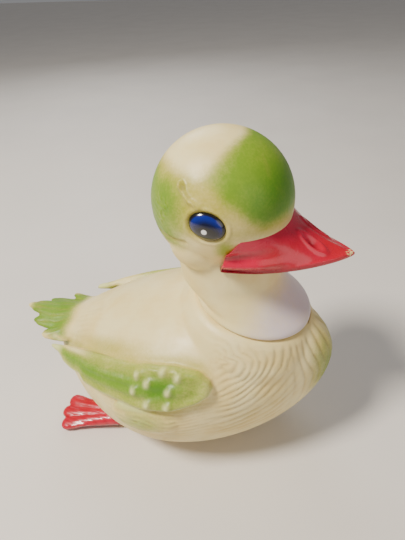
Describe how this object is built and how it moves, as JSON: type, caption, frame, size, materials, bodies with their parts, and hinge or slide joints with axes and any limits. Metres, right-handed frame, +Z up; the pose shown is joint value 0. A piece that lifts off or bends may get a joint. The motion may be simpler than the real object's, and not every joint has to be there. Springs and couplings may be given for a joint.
{
  "type": "squeaky rubber duckling",
  "caption": "Hollow soft-vinyl duckling on a flat belly, with a head that turns on its neck and a reed squeaker in the belly.",
  "frame": {"origin": "on the belly's flat resting face, in the middle plane at mid-length of the body", "axes": "+X towards the beak, +Y to the duckling's left, +Z up"},
  "size_m": [0.199, 0.1138, 0.1863],
  "materials": {
    "body_vinyl": "satin cream vinyl with airbrushed green",
    "head_vinyl": "satin cream vinyl with airbrushed green",
    "red_beak": "glossy red coat",
    "eye_gloss": "glossy blue and black",
    "red_foot": "satin red coat",
    "squeaker_plastic": "moulded white",
    "reed_film": "translucent amber film"
  },
  "bodies": {
    "body": {"body_shell": "body_vinyl", "right_foot": "red_foot", "left_foot": "red_foot", "squeaker_housing": "squeaker_plastic", "squeaker_cap": "squeaker_plastic", "reed_bed": "squeaker_plastic", "reed_clamp": "squeaker_plastic"},
    "head": {"head_shell": "head_vinyl", "beak": "red_beak", "right_eye": "eye_gloss", "left_eye": "eye_gloss"},
    "reed": {"squeaker_reed": "reed_film"}
  },
  "joints": [
    {"name": "head_turn", "type": "hinge", "parent": "body", "child": "head", "pos_m": [0.043, 0, 0.09684], "axis": [0.225, 0, 0.9744], "continuous": true},
    {"name": "reed_flex", "type": "hinge", "parent": "body", "child": "reed", "pos_m": [0.0225, 0, 0.006], "axis": [0, 1, 0], "range_deg": [0, 4], "stiffness_Nm_per_rad": 0.0005}
  ]
}
